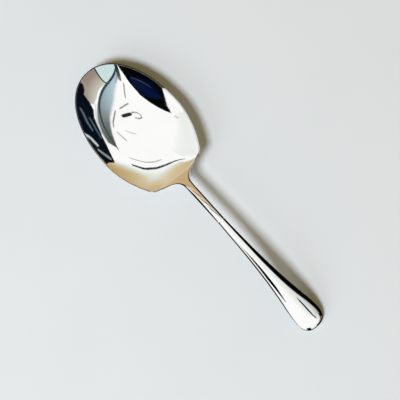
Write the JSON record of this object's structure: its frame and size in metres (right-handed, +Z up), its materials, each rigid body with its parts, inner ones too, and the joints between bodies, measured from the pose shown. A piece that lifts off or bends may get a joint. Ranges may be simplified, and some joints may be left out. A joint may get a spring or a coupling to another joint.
{
  "type": "serving spoon",
  "caption": "Serving spoon with a deep egg-shaped bowl, square shoulders, a slim solid stem and a hollow arched handle that swells to a rounded end.",
  "frame": {"origin": "on the plane that the spoon rests on, under the middle of its length and width", "axes": "+X along the spoon from the tip of the bowl to the end of the handle, +Y across it, +Z up out of the bowl"},
  "size_m": [0.24, 0.0668, 0.0246],
  "materials": {
    "polished_steel": null,
    "brazing_alloy": "silver brazing alloy as it set, inside the handle"
  },
  "bodies": {
    "root": {"bowl_and_stem": "polished_steel", "handle_front_shell": "polished_steel", "handle_back_shell": "polished_steel", "tang_braze": "brazing_alloy", "seam_braze": "brazing_alloy"}
  },
  "joints": []
}
